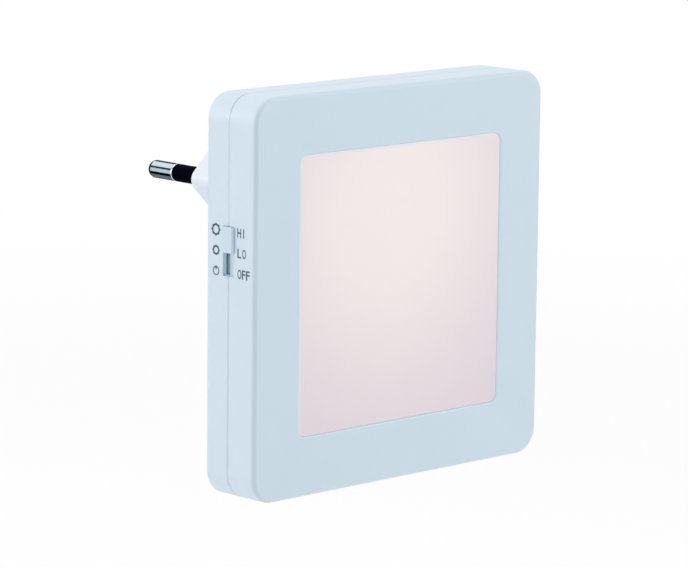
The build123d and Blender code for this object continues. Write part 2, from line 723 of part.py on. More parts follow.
spring_half = ball_offset - ball_radius - fit_gap
with BuildPart() as detent_spring:
    with BuildLine() as coil:
        Helix(pitch=spring_pitch, height=2 * (spring_half - spring_wire), radius=spring_radius,
              center=(click_x, y_front + stem_depth - spring_half + spring_wire, z_mid + knob_rise),
              direction=(0, 1, 0))
    with BuildSketch(coil.line ^ 0):
        Circle(spring_wire)
    sweep(path=coil.line)

# ---- knob pressed onto the slider's stem
knob_back = recess_floor - slide_gap
with BuildPart() as switch_knob:
    with BuildSketch(side(knob_back, seam_depth, knob_rise)):
        RectangleRounded(knob_width, knob_length, knob_corner)
    extrude(amount=knob_back - outer_left + knob_proud)
    fillet(switch_knob.faces().sort_by(Axis.X)[0].edges(), knob_edge_radius)
    with BuildSketch(side(knob_back, stem_depth, knob_rise)):
        RectangleRounded(stem_width + 2 * fit_gap, stem_length + 2 * fit_gap, 0.2)
    extrude(amount=knob_back - outer_left + stem_grip + fit_gap, mode=Mode.SUBTRACT)


def make_screws(seat, head_radius, head, shank_radius, length, points, rise=0.0, to_wall=False):
    """Four screws with cross slots; the heads stand on the seat, and the shanks lead to the front or wall."""
    way = 1 if to_wall else -1
    with BuildPart() as screws:
        with BuildSketch(layer(seat, rise)):
            with GridLocations(*points, 2, 2):
                Circle(head_radius)
        extrude(amount=way * head)
        tops = screws.faces().sort_by(Axis.Y)[:4] if to_wall else screws.faces().sort_by(Axis.Y)[-4:]
        fillet(tops.edges(), 0.45 * head)
        with BuildSketch(layer(seat - way * head, rise)):
            with GridLocations(*points, 2, 2):
                Rectangle(1.15 * head_radius, 0.28 * head_radius)
                Rectangle(0.28 * head_radius, 1.15 * head_radius)
        extrude(amount=-way * 0.55 * head, mode=Mode.SUBTRACT)
        with BuildSketch(layer(seat, rise)):
            with GridLocations(*points, 2, 2):
                Circle(shank_radius)
        extrude(amount=-way * length)
        tips = screws.faces().sort_by(Axis.Y)[-4:] if to_wall else screws.faces().sort_by(Axis.Y)[:4]
        chamfer(tips.edges(), 0.5 * shank_radius)
    return screws


case_screws = make_screws(case_seat_depth, case_head_radius, case_head, case_screw_radius,
                          case_seat + case_screw_grip - screw_end_gap, case_points)
chassis_screws = make_screws(board_back, small_head_radius, small_head, small_screw_radius,
                             chassis_screw_length, chassis_points)
plug_screws = make_screws(flange_depth, small_head_radius, small_head, small_screw_radius, plug_screw_length,
                          plug_points, rise=plug_rise, to_wall=True)

pieces = {
    "front_cover": front_cover, "rear_cover": rear_cover, "lens": lens, "light_guide": light_guide,
    "reflector_sheet": reflector_sheet, "light_frame": light_frame, "led_strip": led_strip, "leds": leds,
    "main_board": main_board, "film_capacitor": film_capacitor, "filter_capacitor": filter_capacitor,
    "bridge_rectifier": bridge_rectifier, "varistor": varistor, "fuse_resistor": fuse_resistor,
    "bleed_resistor": bleed_resistor, "high_level_resistor": high_level_resistor,
    "low_level_resistor": low_level_resistor, "plug_body": plug_body, "pin_carrier": pin_carrier,
    "pin_left": pin_left, "pin_right": pin_right, "sleeve_left": sleeve_left, "sleeve_right": sleeve_right,
    "pin_crimps": pin_crimps, "live_wire": live_wire, "neutral_wire": neutral_wire,
    "led_wire_positive": led_wire_positive, "led_wire_negative": led_wire_negative,
    "switch_frame": switch_frame, "switch_base": switch_base, "switch_terminals": switch_terminals,
    "switch_slider": switch_slider, "switch_contact": switch_contact, "detent_balls": detent_balls,
    "detent_spring": detent_spring, "switch_knob": switch_knob, "case_screws": case_screws,
    "chassis_screws": chassis_screws, "plug_screws": plug_screws,
}

os.makedirs("parts", exist_ok=True)
for name, piece in pieces.items():
    piece.part.label = name
    export_step(piece.part, f"parts/{name}.step")
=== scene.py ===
import math

import bmesh
import bpy
from mathutils import Matrix, Vector


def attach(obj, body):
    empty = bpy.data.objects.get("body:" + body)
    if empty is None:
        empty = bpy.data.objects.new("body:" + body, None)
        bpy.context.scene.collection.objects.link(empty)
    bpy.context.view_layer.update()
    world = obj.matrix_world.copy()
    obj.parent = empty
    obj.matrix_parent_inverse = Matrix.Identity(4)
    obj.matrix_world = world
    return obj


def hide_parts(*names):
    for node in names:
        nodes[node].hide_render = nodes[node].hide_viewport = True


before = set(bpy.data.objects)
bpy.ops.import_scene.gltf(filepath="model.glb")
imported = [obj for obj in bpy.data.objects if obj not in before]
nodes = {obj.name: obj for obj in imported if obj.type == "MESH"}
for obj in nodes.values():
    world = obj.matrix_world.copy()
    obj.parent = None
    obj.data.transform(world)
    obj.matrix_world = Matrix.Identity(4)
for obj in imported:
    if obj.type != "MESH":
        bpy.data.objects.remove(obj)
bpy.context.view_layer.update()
scene = bpy.context.scene
mm = 0.001
print("frame loaded:", len(nodes), "nodes")

# camera: looks at the case from the front left, a little from above
view = {
    "aim": (0.0, -44.5, -17.5),
    "azimuth": -43.970,
    "elevation": 9.777,
    "roll": 0.631,
    "distance": 821.37,
    "slideRight": 7.129,
    "slideUp": 1.332,
    "lens": 200.94,
    "sensor": 36.0,
    "clip": (0.01, 30.0),
}


def makeCamera():
    a, e, r = (math.radians(view[key]) for key in ("azimuth", "elevation", "roll"))
    back = Vector((math.sin(a) * math.cos(e), -math.cos(a) * math.cos(e), math.sin(e)))
    level = (-back).cross(Vector((0, 0, 1))).normalized()
    above = level.cross(-back)
    right = level * math.cos(r) + above * math.sin(r)
    up = above * math.cos(r) - level * math.sin(r)
    place = Vector(view["aim"]) + back * view["distance"]
    place -= right * view["slideRight"] + up * view["slideUp"]
    data = bpy.data.cameras.new("camera")
    data.sensor_width = view["sensor"]
    data.lens = view["lens"]
    data.clip_start, data.clip_end = view["clip"]
    camera = bpy.data.objects.new("camera", data)
    turn = Matrix((right, up, back)).transposed().to_4x4()
    camera.matrix_world = Matrix.Translation(place * mm) @ turn
    scene.collection.objects.link(camera)
    scene.camera = camera


makeCamera()
scene.view_settings.view_transform = "Standard"


# helpers for node trees
def addNode(tree, kind, settings=None, values=None):
    node = tree.nodes.new(kind)
    for key, value in (settings or {}).items():
        setattr(node, key, value)
    for key, value in (values or {}).items():
        node.inputs[key].default_value = value
    return node


def mathNode(tree, operation, first, second=None, third=None, clamp=False):
    node = addNode(tree, "ShaderNodeMath", {"operation": operation, "use_clamp": clamp})
    for slot, value in enumerate((first, second, third)):
        if value is None:
            continue
        if isinstance(value, (int, float)):
            node.inputs[slot].default_value = value
        else:
            tree.links.new(value, node.inputs[slot])
    return node.outputs[0]


def mixColors(tree, factor, first, second):
    node = addNode(tree, "ShaderNodeMix", {"data_type": "RGBA"})
    for slot, value in ((0, factor), (6, first), (7, second)):
        if isinstance(value, tuple):
            node.inputs[slot].default_value = (*value, 1.0)
        else:
            tree.links.new(value, node.inputs[slot])
    return node.outputs[2]


def rampNode(tree, factor, stops, interpolation="LINEAR"):
    node = addNode(tree, "ShaderNodeValToRGB")
    ramp = node.color_ramp
    ramp.interpolation = interpolation
    while len(ramp.elements) < len(stops):
        ramp.elements.new(1.0)
    for element, (place, color) in zip(ramp.elements, stops):
        element.position = place
        element.color = (*color, 1.0)
    tree.links.new(factor, node.inputs[0])
    return node.outputs[0]


# studio: white floor, soft lamps, grey cards that only mirror rays see
studio = {
    "floorHeight": -0.13,
    "floorRadius": 6.0,
    "floorSides": 96,
    "floorFade": (0.2, 0.8),
    "floorColor": (0.92, 0.92, 0.92),
    "floorShade": 0.42,
    "floorLift": 0.13,
    "ambient": 0.52,
    "lamps": {
        # place, size in metres, watts, colour
        "lampLeftRear": ((-0.95, 0.62, 0.30), 0.7, 4.75, (1.0, 0.98, 0.965)),
        "lampFrontRight": ((0.75, -1.00, 0.30), 0.8, 4.78, (0.91, 0.99, 1.0)),
        "lampTop": ((-0.10, 0.10, 1.05), 0.6, 3.85, (1.0, 0.99, 0.985)),
    },
    # cards stand behind the plug, round the left pin's axis
    "cardsMiddle": (-0.009, 0.072, 0.0),
    "cards": {
        # from turn, to turn, inner radius, outer radius, grey
        "cardMiddle": (0, 360, 0.0, 0.040, 0.03),
        "cardRight": (-50, 58, 0.040, 0.064, 0.07),
        "cardThin": (132, 158, 0.040, 0.066, 0.045),
        "cardPale": (158, 204, 0.040, 0.066, 0.77),
        "cardStrong": (204, 241, 0.040, 0.066, 0.0),
        "cardLow": (241, 310, 0.040, 0.066, 0.20),
    },
    "cardTint": (0.90, 1.0, 1.0),
    "cardSteps": 24,
}


def rayMask(tree):
    # 1 for rays that should see the white background
    path = addNode(tree, "ShaderNodeLightPath")
    seen = mathNode(tree, "MAXIMUM", path.outputs["Is Camera Ray"], path.outputs["Is Glossy Ray"])
    return mathNode(tree, "MAXIMUM", seen, path.outputs["Is Transmission Ray"])


def makeWorld():
    world = bpy.data.worlds.new("studio")
    scene.world = world
    world.use_nodes = True
    tree = world.node_tree
    tree.nodes.clear()
    ground = addNode(tree, "ShaderNodeBackground", values={"Color": (1, 1, 1, 1)})
    seen = rayMask(tree)
    strength = mathNode(tree, "MULTIPLY_ADD", seen, 1.0 - studio["ambient"], studio["ambient"])
    tree.links.new(strength, ground.inputs["Strength"])
    out = addNode(tree, "ShaderNodeOutputWorld")
    tree.links.new(ground.outputs[0], out.inputs[0])


def makeFloor():
    bm = bmesh.new()
    bmesh.ops.create_circle(bm, cap_ends=True, segments=studio["floorSides"],
                            radius=studio["floorRadius"])
    bmesh.ops.translate(bm, verts=bm.verts, vec=(0, 0, studio["floorHeight"]))
    mesh = bpy.data.meshes.new("floor")
    bm.to_mesh(mesh)
    bm.free()
    floor = bpy.data.objects.new("floor", mesh)
    scene.collection.objects.link(floor)
    material = bpy.data.materials.new("paleFloor")
    material.use_nodes = True
    tree = material.node_tree
    tree.nodes.clear()
    coords = addNode(tree, "ShaderNodeTexCoord")
    reach = addNode(tree, "ShaderNodeVectorMath", {"operation": "LENGTH"})
    tree.links.new(coords.outputs["Object"], reach.inputs[0])
    # near the object the floor takes its shadow, further off it is plain white
    fadeFrom, fadeTo = studio["floorFade"]
    near = addNode(tree, "ShaderNodeMapRange", {"interpolation_type": "SMOOTHSTEP"},
                   {"From Min": fadeFrom, "From Max": fadeTo,
                    "To Min": studio["floorShade"], "To Max": 0.0})
    tree.links.new(reach.outputs["Value"], near.inputs["Value"])
    white = addNode(tree, "ShaderNodeEmission", values={"Color": (1, 1, 1, 1), "Strength": 1.0})
    seen = rayMask(tree)
    matte = addNode(tree, "ShaderNodeBsdfDiffuse", values={"Color": (*studio["floorColor"], 1)})
    lift = addNode(tree, "ShaderNodeEmission", values={"Color": (1, 1, 1, 1)})
    tree.links.new(mathNode(tree, "MULTIPLY", seen, studio["floorLift"]), lift.inputs["Strength"])
    lit = addNode(tree, "ShaderNodeAddShader")
    tree.links.new(matte.outputs[0], lit.inputs[0])
    tree.links.new(lift.outputs[0], lit.inputs[1])
    glow = mathNode(tree, "SUBTRACT", seen, mathNode(tree, "MULTIPLY", seen, near.outputs[0]))
    mix = addNode(tree, "ShaderNodeMixShader")
    tree.links.new(glow, mix.inputs[0])
    tree.links.new(lit.outputs[0], mix.inputs[1])
    tree.links.new(white.outputs[0], mix.inputs[2])
    out = addNode(tree, "ShaderNodeOutputMaterial")
    tree.links.new(mix.outputs[0], out.inputs[0])
    mesh.materials.append(material)


def aimAt(place, target):
    direction = Vector(target) - Vector(place)
    return Matrix.Translation(Vector(place)) @ direction.to_track_quat("-Z", "Y").to_matrix().to_4x4()


def makeLamps():
    target = Vector(view["aim"]) * mm
    for name, (place, size, watts, color) in studio["lamps"].items():
        data = bpy.data.lights.new(name, "AREA")
        data.shape = "SQUARE"
        data.size = size
        data.energy = watts
        data.color = color
        lamp = bpy.data.objects.new(name, data)
        lamp.matrix_world = aimAt(place, target)
        scene.collection.objects.link(lamp)


def makeCard(name):
    start, stop, inner, outer, grey = studio["cards"][name]
    bm = bmesh.new()
    ends = [bm.verts.new((radius, 0, 0)) for radius in (inner, outer)]
    edge = bm.edges.new(ends)
    sweep = stop - start
    bmesh.ops.spin(bm, geom=ends + [edge], cent=(0, 0, 0), axis=(0, -1, 0), angle=math.radians(sweep),
                   steps=studio["cardSteps"], use_merge=sweep == 360, use_duplicate=False)
    bmesh.ops.remove_doubles(bm, verts=bm.verts, dist=0.01 * mm)
    turn = Matrix.Rotation(-math.radians(start), 4, "Y")
    bmesh.ops.transform(bm, matrix=Matrix.Translation(studio["cardsMiddle"]) @ turn, verts=bm.verts)
    mesh = bpy.data.meshes.new(name)
    bm.to_mesh(mesh)
    bm.free()
    card = bpy.data.objects.new(name, mesh)
    scene.collection.objects.link(card)
    material = bpy.data.materials.new(name)
    material.use_nodes = True
    tree = material.node_tree
    tree.nodes.clear()
    shade = addNode(tree, "ShaderNodeEmission", values={
        "Color": (*studio["cardTint"], 1), "Strength": grey})
    out = addNode(tree, "ShaderNodeOutputMaterial")
    tree.links.new(shade.outputs[0], out.inputs[0])
    mesh.materials.append(material)
    card.visible_camera = False
    card.visible_diffuse = False
    card.visible_transmission = False
    card.visible_shadow = False


makeWorld()
makeFloor()
makeLamps()
for name in studio["cards"]:
    makeCard(name)
print("studio ready")


# shader groups shared by several finishes
def newGroup(name, inputs, outputs):
    group = bpy.data.node_groups.new(name, "ShaderNodeTree")
    for label, kind, value in inputs:
        socket = group.interface.new_socket(name=label, in_out="INPUT", socket_type=kind)
        socket.default_value = value
    for label, kind in outputs:
        group.interface.new_socket(name=label, in_out="OUTPUT", socket_type=kind)
    start = group.nodes.new("NodeGroupInput")
    end = group.nodes.new("NodeGroupOutput")
    return group, start.outputs, end.inputs


def noiseNode(tree, vector, scale, detail=2.0, roughness=0.5):
    node = addNode(tree, "ShaderNodeTexNoise", values={"Detail": detail, "Roughness": roughness})
    tree.links.new(vector, node.inputs["Vector"])
    if isinstance(scale, (int, float)):
        node.inputs["Scale"].default_value = scale
    else:
        tree.links.new(scale, node.inputs["Scale"])
    return node.outputs["Fac"]


# scale of the broad changes in gloss
smearScale = 210.0


def makeMouldedGroup():
    group, given, wanted = newGroup(
        "mouldedSurface",
        [("Color", "NodeSocketColor", (0.8, 0.8, 0.8, 1)), ("Mottle", "NodeSocketFloat", 0.03),
         ("Mottle Scale", "NodeSocketFloat", 60.0), ("Roughness", "NodeSocketFloat", 0.45),
         ("Roughness Spread", "NodeSocketFloat", 0.06), ("Grain Scale", "NodeSocketFloat", 5000.0)],
        [("Color", "NodeSocketColor"), ("Roughness", "NodeSocketFloat"), ("Height", "NodeSocketFloat")],
    )
    coords = addNode(group, "ShaderNodeTexCoord").outputs["Object"]
    broad = noiseNode(group, coords, given["Mottle Scale"], detail=3.0)
    patch = mathNode(group, "SUBTRACT", broad, 0.5)
    shade = mathNode(group, "MULTIPLY_ADD", patch, given["Mottle"], 1.0)
    tint = addNode(group, "ShaderNodeVectorMath", {"operation": "SCALE"})
    group.links.new(given["Color"], tint.inputs[0])
    group.links.new(shade, tint.inputs["Scale"])
    group.links.new(tint.outputs[0], wanted["Color"])
    smear = noiseNode(group, coords, smearScale, detail=4.0, roughness=0.6)
    uneven = mathNode(group, "ADD", patch, mathNode(group, "SUBTRACT", smear, 0.5))
    rough = mathNode(group, "MULTIPLY_ADD", uneven, given["Roughness Spread"], given["Roughness"])
    group.links.new(rough, wanted["Roughness"])
    group.links.new(noiseNode(group, coords, given["Grain Scale"], roughness=0.55), wanted["Height"])
    return group


# scratches and dust
scuffLook = {
    "bendScale": 40.0,
    "bend": 0.012,
    # two sets of strokes: turn, squeeze along each axis
    "strokes": (((0.3, 0.5, 0.4), (1.0, 14.0, 9.0)), ((-0.6, 0.2, 1.1), (12.0, 1.0, 15.0))),
    # threshold and gain of each mask
    "strokeCut": (0.66, 12.0),
    "upwardCut": (0.55, 2.2),
    "fluffCut": (0.5, 5.0),
    "fluffScale": 900.0,
}


def cutMask(tree, value, cut):
    # 0 under the threshold, then rises to 1
    threshold, gain = cut
    return mathNode(tree, "MULTIPLY", mathNode(tree, "SUBTRACT", value, threshold), gain, clamp=True)


def makeScuffGroup():
    # fine short scratches, and dust that settles on faces that look up
    group, given, wanted = newGroup(
        "scuffsAndDust",
        [("Scratch Scale", "NodeSocketFloat", 260.0), ("Scratch Amount", "NodeSocketFloat", 0.5),
         ("Dust Amount", "NodeSocketFloat", 0.3)],
        [("Scratches", "NodeSocketFloat"), ("Dust", "NodeSocketFloat")],
    )
    coords = addNode(group, "ShaderNodeTexCoord").outputs["Object"]
    bend = addNode(group, "ShaderNodeTexNoise", values={"Scale": scuffLook["bendScale"], "Detail": 1.0})
    group.links.new(coords, bend.inputs["Vector"])
    shift = addNode(group, "ShaderNodeVectorMath", {"operation": "MULTIPLY_ADD"})
    group.links.new(bend.outputs["Color"], shift.inputs[0])
    shift.inputs[1].default_value = (scuffLook["bend"],) * 3
    group.links.new(coords, shift.inputs[2])
    lines = []
    for turn, squeeze in scuffLook["strokes"]:
        spread = addNode(group, "ShaderNodeMapping", {"vector_type": "TEXTURE"},
                         {"Rotation": turn, "Scale": tuple(1.0 / value for value in squeeze)})
        group.links.new(shift.outputs[0], spread.inputs["Vector"])
        streak = noiseNode(group, spread.outputs[0], given["Scratch Scale"], detail=1.0)
        lines.append(cutMask(group, streak, scuffLook["strokeCut"]))
    both = mathNode(group, "MAXIMUM", *lines)
    group.links.new(mathNode(group, "MULTIPLY", both, given["Scratch Amount"]), wanted["Scratches"])
    up = addNode(group, "ShaderNodeSeparateXYZ")
    group.links.new(addNode(group, "ShaderNodeNewGeometry").outputs["Normal"], up.inputs[0])
    lying = cutMask(group, up.outputs["Z"], scuffLook["upwardCut"])
    fluff = noiseNode(group, coords, scuffLook["fluffScale"], detail=5.0, roughness=0.7)
    speck = cutMask(group, fluff, scuffLook["fluffCut"])
    settled = mathNode(group, "MULTIPLY", lying, speck)
    group.links.new(mathNode(group, "MULTIPLY", settled, given["Dust Amount"]), wanted["Dust"])
    return group


mouldedGroup = makeMouldedGroup()
scuffGroup = makeScuffGroup()


def placeGroup(tree, group, values):
    node = addNode(tree, "ShaderNodeGroup", {"node_tree": group})
    for key, value in values.items():
        node.inputs[key].default_value = value
    return node


def newMaterial(name):
    material = bpy.data.materials.new(name)
    material.use_nodes = True
    tree = material.node_tree
    shader = tree.nodes["Principled BSDF"]
    return material, tree, shader


def addBump(tree, shader, height, depth):
    # depth in millimetres
    bump = addNode(tree, "ShaderNodeBump", values={"Strength": 1.0, "Distance": depth * mm})
    tree.links.new(height, bump.inputs["Height"])
    tree.links.new(bump.outputs[0], shader.inputs["Normal"])


def objectCoords(tree, centre=(0, 0, 0)):
    # coordinates in metres from a piece's own middle
    shift = addNode(tree, "ShaderNodeMapping", values={
        "Location": tuple(-value * mm for value in centre)})
    tree.links.new(addNode(tree, "ShaderNodeTexCoord").outputs["Object"], shift.inputs["Vector"])
    return shift.outputs[0]


def splitCoords(tree, centre=(0, 0, 0)):
    parts = addNode(tree, "ShaderNodeSeparateXYZ")
    tree.links.new(objectCoords(tree, centre), parts.inputs[0])
    return parts.outputs


# moulded plastics and coats: colour, mottle, roughness, grain
mouldedBase = {"mottle": 0.03, "roughness": 0.42, "spread": 0.08, "grain": 4200.0, "depth": 0.012,
               "dust": 0.05, "scratch": 0.05, "specular": 0.5}
wireBase = {**mouldedBase, "mottle": 0.08, "spread": 0.1, "grain": 2500.0, "depth": 0.01,
            "scratch": 0.1}
mouldedLooks = {
    "casePlastic": {**mouldedBase, "color": (0.650, 0.768, 0.865), "roughness": 0.40},
    "knobPlastic": {**mouldedBase, "color": (0.608, 0.733, 0.853), "dust": 0.02, "scratch": 0.12},
    "plugPlastic": {**mouldedBase, "color": (0.79, 0.835, 0.93)},
    "framePlastic": {**mouldedBase, "color": (0.80, 0.80, 0.78), "mottle": 0.04, "roughness": 0.5,
                     "spread": 0.1, "grain": 3000.0, "depth": 0.015, "dust": 0.1, "scratch": 0.1},
    "whiteFilm": {**mouldedBase, "color": (0.86, 0.86, 0.87), "mottle": 0.02, "roughness": 0.35,
                  "spread": 0.1, "grain": 1200.0, "depth": 0.004, "dust": 0.0, "scratch": 0.15},
    "blackMoulding": {**mouldedBase, "color": (0.022, 0.023, 0.026), "mottle": 0.2, "roughness": 0.55,
                      "spread": 0.12, "grain": 6000.0, "depth": 0.015, "dust": 0.1, "scratch": 0.2},
    "sleevePlastic": {**mouldedBase, "color": (0.0003, 0.0006, 0.0040), "mottle": 0.2, "grain": 5000.0,
                      "depth": 0.005, "dust": 0.0, "scratch": 0.15, "specular": 0.01},
    "switchPlastic": {**mouldedBase, "color": (0.035, 0.055, 0.10), "mottle": 0.15, "roughness": 0.5,
                      "spread": 0.1, "grain": 5000.0, "dust": 0.0, "scratch": 0.15},
    "wireBrown": {**wireBase, "color": (0.13, 0.055, 0.03)},
    "wireBlue": {**wireBase, "color": (0.03, 0.13, 0.42)},
    "wireRed": {**wireBase, "color": (0.50, 0.025, 0.02)},
    "wireBlack": {**wireBase, "color": (0.018, 0.018, 0.02), "mottle": 0.1, "roughness": 0.45},
}
# how much a scratch and dust change the gloss, and how deep a scratch cuts
wear = {"dustColor": (0.72, 0.70, 0.66), "scratchDull": 0.25, "dustDull": 0.4, "scratchDepth": 0.6}

# painted light and shade on the case where little light gets in: middle and half size of each box, its
# soft border
caseLightAndShade = {
    # painted light: the seam's groove is paler than the plastic, more so above the switch
    "seamAbove": {"middle": (-42.25, -44.0, 11.6), "half": (0.25, 0.4, 13.7), "soft": 0.05,
                  "color": (0.77, 0.88, 0.97)},
    "seamBelow": {"middle": (-42.25, -44.0, -36.4), "half": (0.25, 0.4, 23.7), "soft": 0.05,
                  "color": (0.69, 0.81, 0.90)},
    # painted light and shade in the recess, by the ramp further down
    "recess": {"middle": (-42.05, -44.0, -7.4), "half": (0.40, 1.95, 5.35), "soft": 0.10},
    # painted shade: the slot is darker than the plastic
    "slot": {"middle": (-41.76, -43.4, -7.4), "half": (0.25, 0.75, 5.0), "soft": 0.04,
             "color": (0.26, 0.41, 0.58)},
    # painted glow on the slot's deeper wall and on the walls round the lens
    "leak": {"middle": (-41.1, -43.4, -7.4), "half": (0.52, 0.75, 5.0), "soft": 0.35,
             "color": (0.28, 0.36, 0.48)},
    "opening": {"middle": (0.0, -51.36, -17.5), "half": (29.95, 0.61, 29.95), "soft": 0.03,
                "color": (0.16, 0.12, 0.12)},
}
# painted light on the recess's rear wall, painted shade over its floor, fading to the plastic's own
# colour at the front
recessLightAndShade = [(0.04, (0.78, 0.94, 1.0)), (0.06, (0.42, 0.54, 0.66)), (0.20, (0.42, 0.54, 0.66)),
              (0.51, (0.46, 0.58, 0.72)), (0.76, (0.60, 0.71, 0.81)), (0.84, (0.65, 0.768, 0.865))]
# painted light: paler tone on the knob's front and lower flanks, lifting the shade there; axis, and
# where the tone starts and is full along it
knobFlankLight = {"color": (0.75, 0.87, 0.98), "planes": (("Y", -45.60, -45.68), ("Z", -7.50, -7.60))}


def edgeMask(tree, value, start, full, soft="LINEAR"):
    # 0 up to start, 1 from full on, both in millimetres
    edge = addNode(tree, "ShaderNodeMapRange", {"interpolation_type": soft},
                   {"From Min": start * mm, "From Max": full * mm})
    tree.links.new(value, edge.inputs["Value"])
    return edge.outputs[0]


def joinMasks(tree, masks, operation="MULTIPLY"):
    joined = masks[0]
    for mask in masks[1:]:
        joined = mathNode(tree, operation, joined, mask)
    return joined


def boxMask(tree, place):
    # 1 inside a box, 0 outside
    parts = splitCoords(tree, place["middle"])
    return joinMasks(tree, [
        edgeMask(tree, mathNode(tree, "ABSOLUTE", parts[axis]), half, half - place["soft"])
        for axis, half in zip("XYZ", place["half"])])


def paintCaseLightAndShade(tree, shader, color):
    recess = caseLightAndShade["recess"]
    # painted light in the seam's groove
    for place in ("seamAbove", "seamBelow"):
        color = mixColors(tree, boxMask(tree, caseLightAndShade[place]), color, caseLightAndShade[place]["color"])
    # painted light on the recess's rear wall, painted shade on its floor
    across = splitCoords(tree, recess["middle"])["Y"]
    part = mathNode(tree, "MULTIPLY_ADD", across, -0.5 / (recess["half"][1] * mm), 0.5)
    color = mixColors(tree, boxMask(tree, recess), color, rampNode(tree, part, recessLightAndShade))
    # painted shade in the slot
    color = mixColors(tree, boxMask(tree, caseLightAndShade["slot"]), color, caseLightAndShade["slot"]["color"])
    # a little glow is painted on the slot's deeper wall and on the walls round the lens
    glow = (0.0, 0.0, 0.0)
    for place in ("leak", "opening"):
        glow = mixColors(tree, boxMask(tree, caseLightAndShade[place]), glow, caseLightAndShade[place]["color"])
    tree.links.new(glow, shader.inputs["Emission Color"])
    shader.inputs["Emission Strength"].default_value = 1.0
    return color


# painted light on the knob's front and lower flanks
def paintKnobFlankLight(tree, color):
    parts = splitCoords(tree)
    flanks = [edgeMask(tree, parts[axis], start, full) for axis, start, full in knobFlankLight["planes"]]
    return mixColors(tree, joinMasks(tree, flanks, "MAXIMUM"), color, knobFlankLight["color"])


def makeMoulded(name):
    look = mouldedLooks[name]
    material, tree, shader = newMaterial(name)
    surface = placeGroup(tree, mouldedGroup, {
        "Color": (*look["color"], 1), "Mottle": look["mottle"], "Roughness": look["roughness"],
        "Roughness Spread": look["spread"], "Grain Scale": look["grain"],
    })
    scuffs = placeGroup(tree, scuffGroup, {
        "Scratch Amount": look["scratch"], "Dust Amount": look["dust"]})
    dustAndPaintedShade = mixColors(tree, scuffs.outputs["Dust"], surface.outputs["Color"], wear["dustColor"])
    # the case and the knob get painted light and shade over the dust
    if name == "casePlastic":
        dustAndPaintedShade = paintCaseLightAndShade(tree, shader, dustAndPaintedShade)
    elif name == "knobPlastic":
        dustAndPaintedShade = paintKnobFlankLight(tree, dustAndPaintedShade)
    tree.links.new(dustAndPaintedShade, shader.inputs["Base Color"])
    rough = mathNode(tree, "MULTIPLY_ADD", scuffs.outputs["Scratches"], wear["scratchDull"],
                     surface.outputs["Roughness"])
    rough = mathNode(tree, "MULTIPLY_ADD", scuffs.outputs["Dust"], wear["dustDull"], rough)
    tree.links.new(rough, shader.inputs["Roughness"])
    height = mathNode(tree, "SUBTRACT", surface.outputs["Height"],
                      mathNode(tree, "MULTIPLY", scuffs.outputs["Scratches"], wear["scratchDepth"]))
    addBump(tree, shader, height, look["depth"])
    shader.inputs["Specular IOR Level"].default_value = look["specular"]
    return material


moulded = {name: makeMoulded(name) for name in mouldedLooks}
print("moulded finishes:", len(moulded))

# milky lens; its glow is painted as emission, brightest above its middle and fading from there, not
# cast by the light guide or the LEDs
lensLook = {
    "color": (0.70, 0.655, 0.695),
    # painted shade at the rim
    "rimShadeColor": (0.66, 0.72, 0.77),
    # distance from the brightest point over the reach, and the painted glow there
    "glow": [(0.0, (1.06, 0.88, 0.66)), (0.26, (1.0, 0.79, 0.64)), (0.52, (0.76, 0.53, 0.47)),
             (0.76, (0.50, 0.31, 0.34)), (0.93, (0.42, 0.22, 0.26))],
    "rimGlow": (0.42, 0.40, 0.36),
    "glowStrength": 0.25,
    "centre": (-3.5, -52.0, -2.5),
    "reach": 60.0,
    "middle": (0.0, -52.0, -17.5),
    "halfSide": 29.8,
    # the painted glow fades and a painted shade takes over towards the rim over these widths: axis,
    # side, width
    "rims": [("X", -1, 1.6), ("X", 1, 0.4), ("Z", 1, 1.0), ("Z", -1, 0.7)],
    "haze": {"Mottle": 0.015, "Mottle Scale": 45.0, "Roughness": 0.30, "Roughness Spread": 0.05,
             "Grain Scale": 2600.0},
    "scratch": 0.08,
    "scratchDull": 0.2,
    "subsurface": 0.15,
    "subsurfaceRadius": (1.0, 0.9, 0.85),
    "subsurfaceScale": 1.2,
    "depth": 0.004,
}


def makeLensMaterial():
    look = lensLook
    material, tree, shader = newMaterial("lensPlastic")
    reach = addNode(tree, "ShaderNodeVectorMath", {"operation": "LENGTH"})
    tree.links.new(objectCoords(tree, look["centre"]), reach.inputs[0])
    far = mathNode(tree, "DIVIDE", reach.outputs["Value"], look["reach"] * mm, clamp=True)
    parts = splitCoords(tree, look["middle"])
    half = look["halfSide"]
    inner = joinMasks(tree, [
        edgeMask(tree, mathNode(tree, "MULTIPLY", parts[axis], side), half, half - width, "SMOOTHSTEP")
        for axis, side, width in look["rims"]])
    haze = placeGroup(tree, mouldedGroup, {"Color": (*look["color"], 1), **look["haze"]})
    # painted shade near the rim, the lens's own colour inside
    color = mixColors(tree, inner, look["rimShadeColor"], haze.outputs["Color"])
    tree.links.new(color, shader.inputs["Base Color"])
    scuffs = placeGroup(tree, scuffGroup, {"Scratch Amount": look["scratch"], "Dust Amount": 0.0})
    rough = mathNode(tree, "MULTIPLY_ADD", scuffs.outputs["Scratches"], look["scratchDull"],
                     haze.outputs["Roughness"])
    tree.links.new(rough, shader.inputs["Roughness"])
    # painted glow, weaker near the rim
    glow = mixColors(tree, inner, look["rimGlow"], rampNode(tree, far, look["glow"]))
    tree.links.new(glow, shader.inputs["Emission Color"])
    shader.inputs["Emission Strength"].default_value = look["glowStrength"]
    shader.inputs["Subsurface Weight"].default_value = look["subsurface"]
    shader.inputs["Subsurface Radius"].default_value = look["subsurfaceRadius"]
    shader.inputs["Subsurface Scale"].default_value = look["subsurfaceScale"] * mm
    addBump(tree, shader, haze.outputs["Height"], look["depth"])
    return material


lensPlastic = makeLensMaterial()

